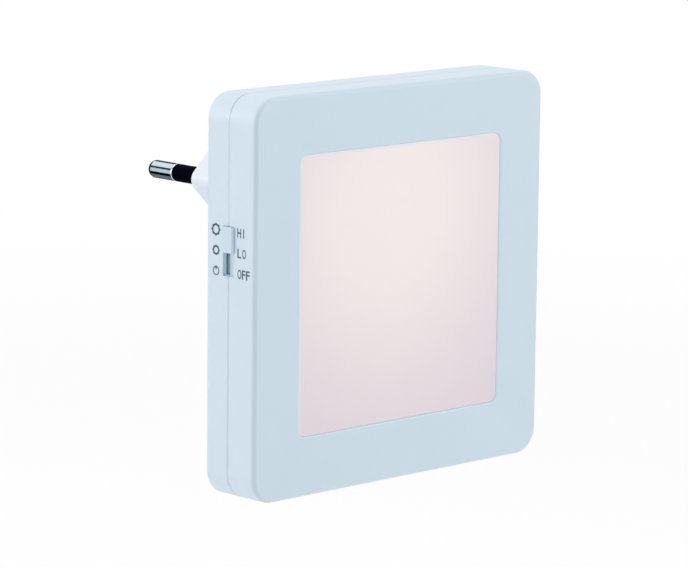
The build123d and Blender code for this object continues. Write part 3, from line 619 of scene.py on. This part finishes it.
# metals: clean and tarnished colour, roughness, scratches
metalLooks = {
    "pinNickel": {"color": (0.65, 0.74, 0.83), "dull": (0.56, 0.64, 0.72),
                  "roughness": 0.07, "scratch": 0.15},
    # painted shade: the switch's frame is made dark blue for the dark seen through the slot; such
    # frames are nickel-plated steel
    "shadedSwitchSteel": {"color": (0.10, 0.15, 0.21), "dull": (0.06, 0.09, 0.14),
                    "roughness": 0.40, "scratch": 0.3},
    "steel": {"color": (0.62, 0.63, 0.65), "dull": (0.40, 0.41, 0.42),
              "roughness": 0.30, "scratch": 0.4},
    "contactBrass": {"color": (0.80, 0.58, 0.26), "dull": (0.48, 0.32, 0.15),
                     "roughness": 0.26, "scratch": 0.4},
}
tarnishLook = {"scale": 420.0, "cut": (0.52, 3.0), "dull": 0.12}
metalWear = {"scratchScale": 500.0, "scratchDull": 0.2, "fineScale": 7000.0, "depth": 0.0015}


def makeMetal(name):
    look = metalLooks[name]
    material, tree, shader = newMaterial(name)
    shader.inputs["Metallic"].default_value = 1.0
    coords = objectCoords(tree)
    tarnish = noiseNode(tree, coords, tarnishLook["scale"], detail=5.0, roughness=0.65)
    spots = cutMask(tree, tarnish, tarnishLook["cut"])
    tree.links.new(mixColors(tree, spots, look["color"], look["dull"]), shader.inputs["Base Color"])
    scuffs = placeGroup(tree, scuffGroup, {
        "Scratch Scale": metalWear["scratchScale"], "Scratch Amount": look["scratch"],
        "Dust Amount": 0.0,
    })
    rough = mathNode(tree, "MULTIPLY_ADD", spots, tarnishLook["dull"], look["roughness"])
    rough = mathNode(tree, "MULTIPLY_ADD", scuffs.outputs["Scratches"], metalWear["scratchDull"], rough)
    tree.links.new(rough, shader.inputs["Roughness"])
    fine = noiseNode(tree, coords, metalWear["fineScale"], detail=1.0)
    height = mathNode(tree, "SUBTRACT", fine, scuffs.outputs["Scratches"])
    addBump(tree, shader, height, metalWear["depth"])
    return material


metals = {name: makeMetal(name) for name in metalLooks}

# tinned leads of the parts on the board, and the depth of the grain in their coats
tinned = {"color": (0.62, 0.63, 0.65), "smoother": 0.15}
coatDepth = 0.02


def tinnedWhere(tree, shader, mask, color, roughness):
    # paint or resin where the mask is 0, tinned wire where it is 1
    tree.links.new(mixColors(tree, mask, color, tinned["color"]), shader.inputs["Base Color"])
    tree.links.new(mask, shader.inputs["Metallic"])
    bare = mathNode(tree, "MULTIPLY", mask, -tinned["smoother"])
    tree.links.new(mathNode(tree, "ADD", roughness, bare), shader.inputs["Roughness"])


# resistors: coat with code rings
resistorColors = {
    "paleCoat": (0.62, 0.47, 0.30),
    "greenCoat": (0.25, 0.45, 0.38),
    "black": (0.012, 0.012, 0.012),
    "redBrown": (0.10, 0.02, 0.01),
    "brown": (0.10, 0.045, 0.02),
    "red": (0.60, 0.02, 0.02),
    "yellow": (0.75, 0.60, 0.03),
    "blue": (0.02, 0.10, 0.50),
    "violet": (0.20, 0.04, 0.28),
    "grey": (0.35, 0.35, 0.36),
    "gold": (0.55, 0.36, 0.06),
}
resistorLooks = {
    # middle of the body, its length, axis letter, coat, rings
    "fuse_resistor": ((32.0, -42.4, -5.5), 9.0, "Z", "greenCoat",
                      ("redBrown", "black", "black", "gold")),
    "bleed_resistor": ((32.0, -42.4, -29.5), 6.5, "Z", "paleCoat",
                       ("brown", "black", "yellow", "gold")),
    "high_level_resistor": ((10.0, -42.4, -33.5), 6.5, "X", "paleCoat",
                            ("yellow", "violet", "brown", "gold")),
    "low_level_resistor": ((10.0, -42.4, -39.5), 6.5, "X", "paleCoat",
                           ("blue", "grey", "red", "gold")),
}
# where the rings start, and how wide they are, over the length of the body
ringPlaces = {"starts": (0.20, 0.37, 0.50, 0.72), "width": 0.07}
resistorSurface = {"Mottle Scale": 300.0, "Roughness": 0.38, "Grain Scale": 1800.0}


def makeResistorMaterial(node):
    centre, length, axis, coatName, rings = resistorLooks[node]
    material, tree, shader = newMaterial(node + "Coat")
    along = splitCoords(tree, centre)[axis]
    part = mathNode(tree, "MULTIPLY_ADD", along, 1.0 / (length * mm), 0.5)
    coat = resistorColors[coatName]
    stops = [(0.0, coat)]
    for start, ring in zip(ringPlaces["starts"], rings):
        stops += [(start, resistorColors[ring]), (start + ringPlaces["width"], coat)]
    bands = rampNode(tree, part, stops, "CONSTANT")
    outside = mathNode(tree, "GREATER_THAN", mathNode(tree, "ABSOLUTE", along), length * mm / 2)
    surface = placeGroup(tree, mouldedGroup, resistorSurface)
    tinnedWhere(tree, shader, outside, bands, surface.outputs["Roughness"])
    addBump(tree, shader, surface.outputs["Height"], coatDepth)
    return material


# circuit board: green mask, darker in the gaps between the copper areas
boardLook = {
    "middle": (0.0, -44.2, -17.5),
    "maskColor": (0.018, 0.16, 0.055),
    "gapColor": (0.010, 0.085, 0.035),
    "areaScale": 120.0,
    "gapWidth": 0.06,
    # how much the weave changes the tone, the gloss and the height
    "weaveScale": 2400.0,
    "weaveTone": 0.3,
    "baseTone": 0.85,
    "weaveRoughness": 0.15,
    "baseRoughness": 0.22,
    "weaveHeight": 0.1,
    "depth": 0.03,
}


def makeBoardMaterial():
    look = boardLook
    material, tree, shader = newMaterial("circuitBoard")
    coords = objectCoords(tree, look["middle"])
    areas = addNode(tree, "ShaderNodeTexVoronoi", {"feature": "DISTANCE_TO_EDGE"},
                    {"Scale": look["areaScale"]})
    tree.links.new(coords, areas.inputs["Vector"])
    gap = mathNode(tree, "LESS_THAN", areas.outputs["Distance"], look["gapWidth"])
    weave = noiseNode(tree, coords, look["weaveScale"])
    mask = mixColors(tree, gap, look["maskColor"], look["gapColor"])
    shade = mathNode(tree, "MULTIPLY_ADD", weave, look["weaveTone"], look["baseTone"])
    tint = addNode(tree, "ShaderNodeVectorMath", {"operation": "SCALE"})
    tree.links.new(mask, tint.inputs[0])
    tree.links.new(shade, tint.inputs["Scale"])
    tree.links.new(tint.outputs[0], shader.inputs["Base Color"])
    rough = mathNode(tree, "MULTIPLY_ADD", weave, look["weaveRoughness"], look["baseRoughness"])
    tree.links.new(rough, shader.inputs["Roughness"])
    step = mathNode(tree, "SUBTRACT", mathNode(tree, "MULTIPLY", weave, look["weaveHeight"]), gap)
    addBump(tree, shader, step, look["depth"])
    return material


# boxed, sleeved and coated parts: tinned leads begin at a distance from the centre along an axis
leadedLooks = {
    "film_capacitor": {"color": (0.30, 0.33, 0.36), "roughness": 0.34, "grain": 1500.0,
                       "axis": "Y", "centre": (0, -42.7, 0), "side": -1, "from": 0.0},
    "filter_capacitor": {"color": (0.015, 0.02, 0.05), "roughness": 0.28, "grain": 900.0,
                         "axis": "X", "centre": (-13.1, -40.8, -29.5), "side": 1, "from": 0.0},
    "bridge_rectifier": {"color": (0.02, 0.021, 0.023), "roughness": 0.5, "grain": 6000.0,
                         "axis": "Z", "centre": (0, -41.4, -23.5), "side": 0, "from": 3.1},
    "varistor": {"color": (0.02, 0.09, 0.42), "roughness": 0.25, "grain": 700.0,
                 "axis": "Z", "centre": (20.0, -41.0, -17.5), "side": -1, "from": 3.7},
}
leadedMottle = {"Mottle": 0.1, "Mottle Scale": 250.0}


def makeLeadedMaterial(node):
    look = leadedLooks[node]
    material, tree, shader = newMaterial(node + "Finish")
    along = splitCoords(tree, look["centre"])[look["axis"]]
    if look["side"] < 0:
        along = mathNode(tree, "MULTIPLY", along, -1.0)
    elif look["side"] == 0:
        along = mathNode(tree, "ABSOLUTE", along)
    bare = mathNode(tree, "GREATER_THAN", along, look["from"] * mm)
    surface = placeGroup(tree, mouldedGroup, {
        "Color": (*look["color"], 1), **leadedMottle, "Roughness": look["roughness"],
        "Grain Scale": look["grain"],
    })
    tinnedWhere(tree, shader, bare, surface.outputs["Color"], surface.outputs["Roughness"])
    addBump(tree, shader, surface.outputs["Height"], coatDepth)
    return material


# light guide: clear sheet with a grid of printed dots and a painted glow, brighter on the dots
guideLook = {
    "color": (0.93, 0.96, 0.98),
    "refraction": 1.49,
    "dotScale": 700.0,
    "dotRadius": 0.28,
    "dotRoughness": 0.5,
    "roughness": 0.04,
    "glow": (0.35, 0.30, 0.25),
    "dotGlow": (1.0, 0.90, 0.78),
    "glowStrength": 0.05,
}


def makeGuideMaterial():
    look = guideLook
    material, tree, shader = newMaterial("guideAcrylic")
    shader.inputs["Base Color"].default_value = (*look["color"], 1)
    shader.inputs["Transmission Weight"].default_value = 1.0
    shader.inputs["IOR"].default_value = look["refraction"]
    shader.inputs["Emission Strength"].default_value = look["glowStrength"]
    coords = objectCoords(tree)
    dots = addNode(tree, "ShaderNodeTexVoronoi", {"feature": "F1"},
                   {"Scale": look["dotScale"], "Randomness": 0.0})
    tree.links.new(coords, dots.inputs["Vector"])
    printed = mathNode(tree, "LESS_THAN", dots.outputs["Distance"], look["dotRadius"])
    rough = mathNode(tree, "MULTIPLY_ADD", printed, look["dotRoughness"], look["roughness"])
    tree.links.new(rough, shader.inputs["Roughness"])
    # painted glow, brighter on the dots
    glow = mixColors(tree, printed, look["glow"], look["dotGlow"])
    tree.links.new(glow, shader.inputs["Emission Color"])
    return material


# light-emitting diodes: pale package, yellow window
ledLook = {
    "middle": (0.0, -47.55, 15.1),
    "halfPitch": 3.5,
    "windowFrom": 2.35,
    "windowHalf": 0.5,
    "windowColor": (0.85, 0.62, 0.05),
    "glow": (1.0, 0.85, 0.55),
    "glowStrength": 1.5,
    "package": {"Color": (0.82, 0.82, 0.80, 1), "Grain Scale": 8000.0},
    "depth": 0.006,
}


def makeLedMaterial():
    look = ledLook
    material, tree, shader = newMaterial("ledPackage")
    parts = splitCoords(tree, look["middle"])
    pitch = look["halfPitch"] * mm
    wave = mathNode(tree, "PINGPONG", mathNode(tree, "ADD", parts["X"], pitch), pitch)
    across = mathNode(tree, "GREATER_THAN", wave, look["windowFrom"] * mm)
    deep = mathNode(tree, "LESS_THAN", mathNode(tree, "ABSOLUTE", parts["Y"]), look["windowHalf"] * mm)
    window = mathNode(tree, "MULTIPLY", across, deep)
    surface = placeGroup(tree, mouldedGroup, look["package"])
    color = mixColors(tree, window, surface.outputs["Color"], look["windowColor"])
    tree.links.new(color, shader.inputs["Base Color"])
    tree.links.new(surface.outputs["Roughness"], shader.inputs["Roughness"])
    glow = mixColors(tree, window, (0.0, 0.0, 0.0), look["glow"])
    tree.links.new(glow, shader.inputs["Emission Color"])
    shader.inputs["Emission Strength"].default_value = look["glowStrength"]
    addBump(tree, shader, surface.outputs["Height"], look["depth"])
    return material


# printed ink on the side
inkLooks = {
    "iconInk": {"color": (0.020, 0.047, 0.078), "roughness": 0.5},
    "letterInk": {"color": (0.036, 0.070, 0.108), "roughness": 0.5},
}
inkSurface = {"Mottle": 0.5, "Mottle Scale": 1800.0, "Grain Scale": 9000.0}
inkDepth = 0.004


def makeInk(name):
    look = inkLooks[name]
    material, tree, shader = newMaterial(name)
    surface = placeGroup(tree, mouldedGroup, {
        "Color": (*look["color"], 1), "Roughness": look["roughness"], **inkSurface})
    tree.links.new(surface.outputs["Color"], shader.inputs["Base Color"])
    tree.links.new(surface.outputs["Roughness"], shader.inputs["Roughness"])
    addBump(tree, shader, surface.outputs["Height"], inkDepth)
    return material


inks = {name: makeInk(name) for name in inkLooks}

nodeFinishes = {
    "casePlastic": ("front_cover", "rear_cover"),
    "knobPlastic": ("switch_knob",),
    "plugPlastic": ("plug_body",),
    "framePlastic": ("light_frame", "led_strip"),
    "whiteFilm": ("reflector_sheet",),
    "blackMoulding": ("pin_carrier",),
    "sleevePlastic": ("sleeve_left", "sleeve_right"),
    "switchPlastic": ("switch_base", "switch_slider"),
    "wireBrown": ("live_wire",),
    "wireBlue": ("neutral_wire",),
    "wireRed": ("led_wire_positive",),
    "wireBlack": ("led_wire_negative",),
    "pinNickel": ("pin_left", "pin_right"),
    "steel": ("case_screws", "chassis_screws", "plug_screws", "detent_balls", "detent_spring"),
    # the switch's frame takes the dark steel of painted shade
    "shadedSwitchSteel": ("switch_frame",),
    "contactBrass": ("pin_crimps", "switch_terminals", "switch_contact"),
}


def dressNodes():
    finishes = {**moulded, **metals}
    for finish, members in nodeFinishes.items():
        for member in members:
            nodes[member].data.materials[0] = finishes[finish]
    for member in resistorLooks:
        nodes[member].data.materials[0] = makeResistorMaterial(member)
    for member in leadedLooks:
        nodes[member].data.materials[0] = makeLeadedMaterial(member)
    nodes["main_board"].data.materials[0] = makeBoardMaterial()
    nodes["lens"].data.materials[0] = lensPlastic
    nodes["light_guide"].data.materials[0] = makeGuideMaterial()
    nodes["leds"].data.materials[0] = makeLedMaterial()


dressNodes()
print("nodes dressed")


# helpers for new pieces; edges that turn more than this many degrees stay sharp
sharpAngle = 35.0


def finishPiece(name, bm, material, body):
    mesh = bpy.data.meshes.new(name)
    bm.to_mesh(mesh)
    bm.free()
    for polygon in mesh.polygons:
        polygon.use_smooth = True
    mesh.set_sharp_from_angle(angle=math.radians(sharpAngle))
    mesh.materials.append(material)
    piece = bpy.data.objects.new(name, mesh)
    scene.collection.objects.link(piece)
    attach(piece, body)
    return piece


def lathe(profile, steps):
    # spins a closed outline of (radius, height) pairs round Z
    bm = bmesh.new()
    points = [bm.verts.new((radius * mm, 0, height * mm)) for radius, height in profile]
    edges = [bm.edges.new(pair) for pair in zip(points, points[1:])]
    bmesh.ops.spin(bm, geom=points + edges, cent=(0, 0, 0), axis=(0, 0, 1), angle=math.tau, steps=steps,
                   use_merge=True, use_duplicate=False)
    bmesh.ops.remove_doubles(bm, verts=bm.verts, dist=0.001 * mm)
    bmesh.ops.recalc_face_normals(bm, faces=bm.faces)
    return bm


def ringEdges(bm, radius, height, tolerance=0.01):
    # edges of one ring, by its radius and height
    def on(vert):
        return (abs(vert.co.xy.length - radius * mm) < tolerance * mm
                and abs(vert.co.z - height * mm) < tolerance * mm)
    return [edge for edge in bm.edges if on(edge.verts[0]) and on(edge.verts[1])]


def bevelRing(bm, radius, height, offset, segments):
    bmesh.ops.bevel(bm, geom=ringEdges(bm, radius, height), offset=offset * mm,
                    offset_type="OFFSET", affect="EDGES", segments=segments, profile=0.5, material=-1)


# pins and their sleeves
pinSize = {
    # heights are from the plug's face towards the tip; a tuple is a radius and two heights
    "rootSpacing": 18.0,
    "tipSpacing": 17.0,
    "length": 19.0,
    "radius": 2.0,
    "dome": 1.7,
    "neck": 1.58,
    "collar": (2.3, -4.1, -2.1),
    "tail": (1.0, -13.5, -10.0),
    "bareFrom": 10.0,
    "shoulder": 0.22,
    "sleeveRadius": 1.98,
    "sleeveBore": 1.605,
    "sleeveRoot": (1.83, -2.0, 0.1),
    "tailBevel": 0.2,
    "collarBevel": 0.15,
    "sleeveTipBevel": 0.06,
    "sleeveRootBevel": 0.05,
    # rings at these distances from the ends of a straight stretch keep its shading straight
    "ringFromShoulder": 0.3,
    "ringFromDome": 0.1,
    "ringInSleeve": 0.15,
    "steps": 72,
    "domeSegments": 12,
    "bevelSegments": 2,
}


def standInPlug(bm, hand):
    # from an upright pin at the origin to its leaning place in the plug
    root = Vector((hand * pinSize["rootSpacing"] / 2, 0, 0)) * mm
    lean = (pinSize["rootSpacing"] - pinSize["tipSpacing"]) / 2
    way = Vector((-hand * lean, pinSize["length"], 0)).normalized()
    turn = way.to_track_quat("Z", "Y").to_matrix().to_4x4()
    bmesh.ops.transform(bm, matrix=Matrix.Translation(root) @ turn, verts=bm.verts)


def makePin(name, hand):
    size = pinSize
    collarRadius, collarBack, collarFront = size["collar"]
    tailRadius, tailEnd, tailFront = size["tail"]
    neck, radius, bareFrom, length = (size[key] for key in ("neck", "radius", "bareFrom", "length"))
    bm = lathe([
        (0, tailEnd), (tailRadius, tailEnd), (tailRadius, tailFront), (neck, tailFront),
        (neck, collarBack), (collarRadius, collarBack), (collarRadius, collarFront),
        (neck, collarFront), (neck, bareFrom), (radius, bareFrom),
        (radius, bareFrom + size["ringFromShoulder"]),
        (radius, length - size["dome"] - size["ringFromDome"]),
        (radius, length), (0, length),
    ], size["steps"])
    soft = size["bevelSegments"]
    bevelRing(bm, radius, length, size["dome"], size["domeSegments"])
    bevelRing(bm, radius, bareFrom, size["shoulder"], soft)
    bevelRing(bm, tailRadius, tailEnd, size["tailBevel"], soft)
    bevelRing(bm, collarRadius, collarBack, size["collarBevel"], soft)
    bevelRing(bm, collarRadius, collarFront, size["collarBevel"], soft)
    standInPlug(bm, hand)
    piece = finishPiece(name + ".turned", bm, metals["pinNickel"], "housing")
    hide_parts(name)


def makeSleeve(name, hand):
    size = pinSize
    rootRadius, rootBack, rootFront = size["sleeveRoot"]
    bore, radius, tip = (size[key] for key in ("sleeveBore", "sleeveRadius", "bareFrom"))
    inset = size["ringInSleeve"]
    bm = lathe([
        (bore, rootBack), (rootRadius, rootBack), (rootRadius, rootFront),
        (radius, rootFront), (radius, rootFront + inset), (radius, tip - inset), (radius, tip),
        (bore, tip), (bore, rootBack),
    ], size["steps"])
    bevelRing(bm, radius, tip, size["sleeveTipBevel"], size["bevelSegments"])
    bevelRing(bm, radius, rootFront, size["sleeveRootBevel"], size["bevelSegments"])
    standInPlug(bm, hand)
    piece = finishPiece(name + ".moulded", bm, moulded["sleevePlastic"], "housing")
    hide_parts(name)


for handName, hand in (("left", -1), ("right", 1)):
    makePin("pin_" + handName, hand)
    makeSleeve("sleeve_" + handName, hand)
print("pins and sleeves made")

# printed marks beside the switch
markPlaces = {
    # icons: y, z, outer ring diameter, stroke, teeth, bar at the top
    "icons": {
        "markHigh": (-40.05, -3.2, 2.40, 0.38, 8, False),
        "markLow": (-40.12, -7.52, 1.95, 0.36, 8, False),
        "markOff": (-40.15, -11.85, 1.95, 0.25, 0, True),
    },
    # words: text, start y, middle z, pitch
    "words": {
        "wordHigh": ("HI", -46.62, -3.15, 1.33),
        "wordLow": ("LO", -46.7, -7.42, 1.45),
        "wordOff": ("OFF", -46.75, -11.75, 1.30),
    },
    "iconSteps": 64,
    # a tooth: step from its middle, reach over the ring's radius
    "tooth": ((-2, 1.0), (-1, 1.13), (0, 1.20), (1, 1.13), (2, 1.0)),
    # the bar: width, length, rise over the ring, thickness over the ink's
    "bar": (0.34, 0.78, 0.12, 1.3),
    "letterWidth": 1.12,
    "letterHeight": 1.95,
    "letterStroke": 0.28,
    "letterOffset": 0.014,
    "letterResolution": 6,
    "ink": 0.02,
    "side": -42.5,
}


def layOnSide(y, z):
    # local X runs to the front, local Y up, local Z out of the left side
    turn = Matrix(((0, 0, -1), (-1, 0, 0), (0, 1, 0))).to_4x4()
    return Matrix.Translation(Vector((markPlaces["side"], y, z)) * mm) @ turn


def thicken(bm, faces, height):
    # flat faces in XY become a thin layer that stands on its place
    top = bmesh.ops.extrude_face_region(bm, geom=faces)["geom"]
    moved = [item for item in top if isinstance(item, bmesh.types.BMVert)]
    bmesh.ops.translate(bm, verts=moved, vec=(0, 0, height * mm))
    bmesh.ops.recalc_face_normals(bm, faces=bm.faces)


def addBar(bm, ringRadius):
    width, length, rise, thickness = markPlaces["bar"]
    corners = bmesh.ops.create_grid(bm, x_segments=1, y_segments=2, size=0.5 * mm)["verts"]
    bmesh.ops.scale(bm, verts=corners, vec=(width, length, 1))
    bmesh.ops.translate(bm, verts=corners, vec=(0, (ringRadius + rise - length / 2) * mm, 0))
    faces = [face for face in bm.faces if face.verts[0] in corners]
    thicken(bm, faces, thickness * markPlaces["ink"])


def makeIcon(name):
    y, z, diameter, stroke, teeth, bar = markPlaces["icons"][name]
    steps = markPlaces["iconSteps"]
    radius = diameter / 2
    bm = bmesh.new()
    outer = bmesh.ops.create_circle(bm, segments=steps, radius=radius * mm)["verts"]
    bmesh.ops.create_circle(bm, segments=steps, radius=(radius - stroke) * mm)
    for index in range(teeth):
        middle = index * steps // teeth
        for step, reach in markPlaces["tooth"]:
            outer[(middle + step) % steps].co *= reach
    bmesh.ops.bridge_loops(bm, edges=bm.edges[:])
    thicken(bm, bm.faces[:], markPlaces["ink"])
    if bar:
        addBar(bm, radius)
    bmesh.ops.transform(bm, matrix=layOnSide(y, z), verts=bm.verts)
    finishPiece(name, bm, inks["letterInk" if bar else "iconInk"], "housing")


def letterMesh(letter):
    # one letter from the built-in font, as flat faces
    curve = bpy.data.curves.new("letter", "FONT")
    curve.body = letter
    curve.offset = markPlaces["letterOffset"]
    curve.resolution_u = markPlaces["letterResolution"]
    line = bpy.data.objects.new("letter", curve)
    scene.collection.objects.link(line)
    bpy.context.view_layer.update()
    flat = bpy.data.meshes.new_from_object(line)
    bpy.data.objects.remove(line)
    return flat


def makeWord(name):
    text, y, z, pitch = markPlaces["words"][name]
    letterWidth, letterHeight = markPlaces["letterWidth"], markPlaces["letterHeight"]
    bm = bmesh.new()
    for index, letter in enumerate(text):
        flat = letterMesh(letter)
        known = set(bm.verts)
        bm.from_mesh(flat)
        bpy.data.meshes.remove(flat)
        glyph = [vert for vert in bm.verts if vert not in known]
        low = Vector((min(v.co.x for v in glyph), min(v.co.y for v in glyph), 0))
        high = Vector((max(v.co.x for v in glyph), max(v.co.y for v in glyph), 0))
        width = markPlaces["letterStroke"] if letter == "I" else letterWidth
        bmesh.ops.translate(bm, verts=glyph, vec=-(low + high) / 2)
        bmesh.ops.scale(bm, verts=glyph, vec=(
            width * mm / (high.x - low.x), letterHeight * mm / (high.y - low.y), 1))
        bmesh.ops.translate(bm, verts=glyph, vec=((letterWidth / 2 + index * pitch) * mm, 0, 0))
    bmesh.ops.remove_doubles(bm, verts=bm.verts, dist=0.0005 * mm)
    thicken(bm, bm.faces[:], markPlaces["ink"])
    bmesh.ops.transform(bm, matrix=layOnSide(y, z), verts=bm.verts)
    finishPiece(name, bm, inks["letterInk"], "housing")


for name in markPlaces["icons"]:
    makeIcon(name)
for name in markPlaces["words"]:
    makeWord(name)
print("marks printed")

bpy.context.view_layer.update()
